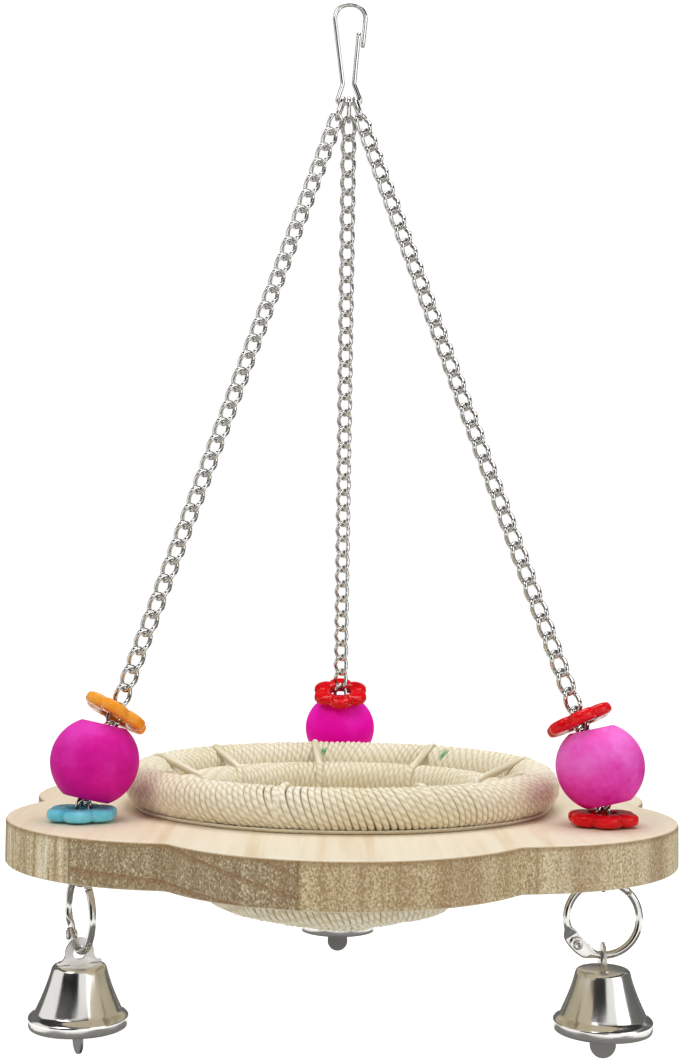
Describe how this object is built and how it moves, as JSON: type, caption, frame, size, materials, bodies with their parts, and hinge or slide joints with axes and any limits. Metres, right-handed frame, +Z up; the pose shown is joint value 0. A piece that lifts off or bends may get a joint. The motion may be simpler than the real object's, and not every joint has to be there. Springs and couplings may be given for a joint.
{
  "type": "hanging bird nest",
  "caption": "Coiled cotton nest set in a flower-shaped pine board, hung from a wire snap hook on chains, with wooden balls, flower beads and small bells on hinged rings.",
  "frame": {"origin": "the hook's hanging point, inside the top of its bow", "axes": "+Z up, +X to the right of the front view, -Y towards the front"},
  "size_m": [0.1552, 0.1656, 0.2529],
  "materials": {
    "nickel_plate": "bright nickel plate on steel",
    "pine": "sanded face, sawn edge, unvarnished",
    "dyed_wood": "dyed through, dull",
    "cotton": "twisted cotton cord",
    "orange_plastic": "moulded, glossy",
    "red_plastic": "moulded, glossy",
    "blue_plastic": "moulded, glossy",
    "yellow_plastic": "moulded, glossy"
  },
  "bodies": {
    "hook": {"snap_hook": "nickel_plate"},
    "nest_platform": {"platform": "pine", "nest_rim": "cotton", "nest_coil": "cotton", "tie_cords": "cotton", "chain_left": "nickel_plate", "chain_right": "nickel_plate", "chain_back": "nickel_plate"},
    "upper_flower_left": {"upper_flower_left": "orange_plastic"},
    "ball_left": {"ball_left": "dyed_wood"},
    "lower_flower_left": {"lower_flower_left": "blue_plastic"},
    "ring_upper_left": {"ring_upper_half_left": "nickel_plate", "ring_rivet_left": "nickel_plate"},
    "ring_lower_left": {"ring_lower_half_left": "nickel_plate"},
    "bell_left": {"bell_shell_left": "nickel_plate", "bell_hanger_left": "nickel_plate"},
    "clapper_left": {"bell_clapper_left": "nickel_plate"},
    "upper_flower_right": {"upper_flower_right": "red_plastic"},
    "ball_right": {"ball_right": "dyed_wood"},
    "lower_flower_right": {"lower_flower_right": "red_plastic"},
    "ring_upper_right": {"ring_upper_half_right": "nickel_plate", "ring_rivet_right": "nickel_plate"},
    "ring_lower_right": {"ring_lower_half_right": "nickel_plate"},
    "bell_right": {"bell_shell_right": "nickel_plate", "bell_hanger_right": "nickel_plate"},
    "clapper_right": {"bell_clapper_right": "nickel_plate"},
    "upper_flower_back": {"upper_flower_back": "red_plastic"},
    "ball_back": {"ball_back": "dyed_wood"},
    "lower_flower_back": {"lower_flower_back": "yellow_plastic"},
    "ring_upper_back": {"ring_upper_half_back": "nickel_plate", "ring_rivet_back": "nickel_plate"},
    "ring_lower_back": {"ring_lower_half_back": "nickel_plate"},
    "bell_back": {"bell_shell_back": "nickel_plate", "bell_hanger_back": "nickel_plate"},
    "clapper_back": {"bell_clapper_back": "nickel_plate"}
  },
  "joints": [
    {"name": "nest_swing", "type": "hinge", "parent": "hook", "child": "nest_platform", "pos_m": [0, 0, -0.02498], "axis": [1, 0, 0], "range_deg": [-30, 30]},
    {"name": "upper_flower_spin_left", "type": "hinge", "parent": "nest_platform", "child": "upper_flower_left", "pos_m": [-0.05183, -0.02981, -0.17677], "axis": [0.4717, 0.2723, 0.8387], "continuous": true},
    {"name": "ball_spin_left", "type": "hinge", "parent": "nest_platform", "child": "ball_left", "pos_m": [-0.05607, -0.03227, -0.18742], "axis": [0.2095, 0.121, 0.9703], "continuous": true},
    {"name": "lower_flower_spin_left", "type": "hinge", "parent": "nest_platform", "child": "lower_flower_left", "pos_m": [-0.05846, -0.03375, -0.19887], "axis": [0, 0, 1], "continuous": true},
    {"name": "ring_swing_left", "type": "hinge", "parent": "nest_platform", "child": "ring_upper_left", "pos_m": [-0.05846, -0.03375, -0.21293], "axis": [0.4695, -0.8829, 0], "range_deg": [-40, 40]},
    {"name": "ring_open_left", "type": "hinge", "parent": "ring_upper_left", "child": "ring_lower_left", "pos_m": [-0.06116, -0.02866, -0.22684], "axis": [0.8829, 0.4695, 0], "range_deg": [0, 50]},
    {"name": "bell_swing_left", "type": "hinge", "parent": "ring_lower_left", "child": "bell_left", "pos_m": [-0.05846, -0.03375, -0.22923], "axis": [0.4695, -0.8829, 0], "range_deg": [-38, 38]},
    {"name": "clapper_swing_left", "type": "hinge", "parent": "bell_left", "child": "clapper_left", "pos_m": [-0.05846, -0.03375, -0.23763], "axis": [0.8829, 0.4695, 0], "range_deg": [-35, 35]},
    {"name": "upper_flower_spin_right", "type": "hinge", "parent": "nest_platform", "child": "upper_flower_right", "pos_m": [0.05348, -0.03079, -0.1772], "axis": [-0.3796, 0.2192, 0.8988], "continuous": true},
    {"name": "ball_spin_right", "type": "hinge", "parent": "nest_platform", "child": "ball_right", "pos_m": [0.05779, -0.03329, -0.18742], "axis": [-0.2095, 0.121, 0.9703], "continuous": true},
    {"name": "lower_flower_spin_right", "type": "hinge", "parent": "nest_platform", "child": "lower_flower_right", "pos_m": [0.05846, -0.03375, -0.19887], "axis": [0, 0, 1], "continuous": true},
    {"name": "ring_swing_right", "type": "hinge", "parent": "nest_platform", "child": "ring_upper_right", "pos_m": [0.05846, -0.03375, -0.21293], "axis": [1, 0, 0], "range_deg": [-40, 40]},
    {"name": "ring_open_right", "type": "hinge", "parent": "ring_upper_right", "child": "ring_lower_right", "pos_m": [0.05269, -0.03375, -0.22684], "axis": [0, 1, 0], "range_deg": [0, 50]},
    {"name": "bell_swing_right", "type": "hinge", "parent": "ring_lower_right", "child": "bell_right", "pos_m": [0.05846, -0.03375, -0.22923], "axis": [1, 0, 0], "range_deg": [-38, 38]},
    {"name": "clapper_swing_right", "type": "hinge", "parent": "bell_right", "child": "clapper_right", "pos_m": [0.05846, -0.03375, -0.23763], "axis": [0, 1, 0], "range_deg": [-35, 35]},
    {"name": "upper_flower_spin_back", "type": "hinge", "parent": "nest_platform", "child": "upper_flower_back", "pos_m": [0, 0.06096, -0.17712], "axis": [0, -0.4067, 0.9135], "continuous": true},
    {"name": "ball_spin_back", "type": "hinge", "parent": "nest_platform", "child": "ball_back", "pos_m": [0, 0.06554, -0.18742], "axis": [0, -0.2419, 0.9703], "continuous": true},
    {"name": "lower_flower_spin_back", "type": "hinge", "parent": "nest_platform", "child": "lower_flower_back", "pos_m": [0, 0.0675, -0.19887], "axis": [0, 0, 1], "continuous": true},
    {"name": "ring_swing_back", "type": "hinge", "parent": "nest_platform", "child": "ring_upper_back", "pos_m": [0, 0.0675, -0.21293], "axis": [1, 0, 0], "range_deg": [-40, 40]},
    {"name": "ring_open_back", "type": "hinge", "parent": "ring_upper_back", "child": "ring_lower_back", "pos_m": [-0.00576, 0.0675, -0.22684], "axis": [0, 1, 0], "range_deg": [0, 50]},
    {"name": "bell_swing_back", "type": "hinge", "parent": "ring_lower_back", "child": "bell_back", "pos_m": [0, 0.0675, -0.22923], "axis": [1, 0, 0], "range_deg": [-38, 38]},
    {"name": "clapper_swing_back", "type": "hinge", "parent": "bell_back", "child": "clapper_back", "pos_m": [0, 0.0675, -0.23763], "axis": [0, 1, 0], "range_deg": [-35, 35]}
  ]
}
